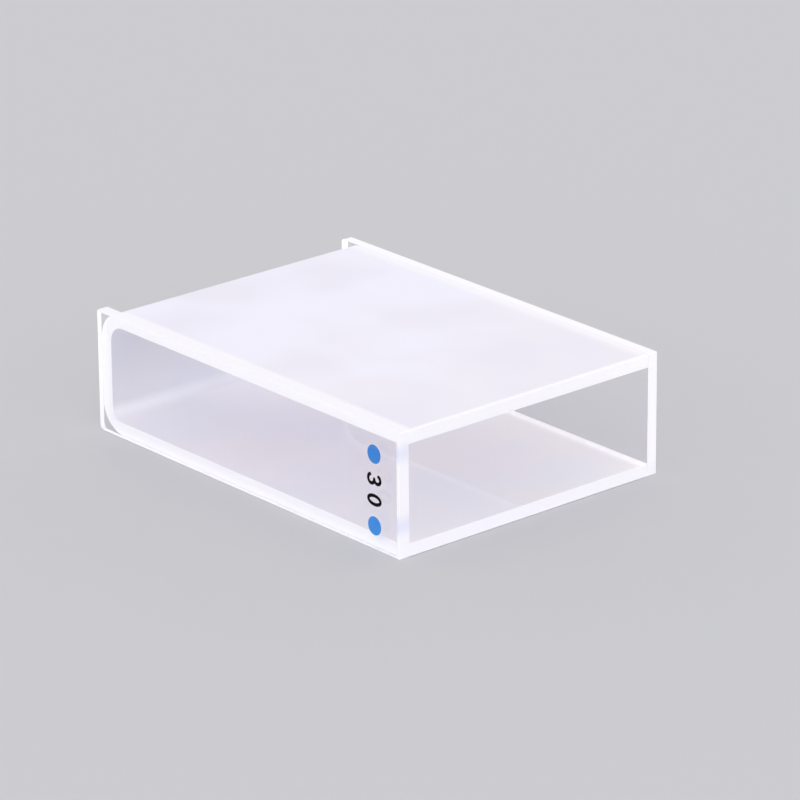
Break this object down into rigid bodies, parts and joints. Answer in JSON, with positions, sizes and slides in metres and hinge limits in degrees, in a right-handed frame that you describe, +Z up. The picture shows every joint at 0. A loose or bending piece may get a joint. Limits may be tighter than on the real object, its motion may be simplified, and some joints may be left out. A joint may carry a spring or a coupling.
{
  "type": "cuvette",
  "caption": "Long-path spectrophotometer cuvette of fused quartz: clear polished windows joined to a frosted U-shaped channel with rounded bends, open at the mouth.",
  "frame": {"origin": "middle of the underside, the broad side that the cell lies on", "axes": "+X along the light path, from the marked window to the plain one; +Y from the mouth to the closed end; +Z up through the frosted broad walls"},
  "size_m": [0.0324, 0.045, 0.0125],
  "materials": {
    "frosted_quartz": "satin",
    "polished_quartz": "polished",
    "ground_quartz": "matte",
    "blue_ink": "matte",
    "black_ink": "matte"
  },
  "bodies": {
    "root": {"channel_body": "frosted_quartz", "marked_window": "polished_quartz", "plain_window": "polished_quartz"}
  },
  "joints": []
}
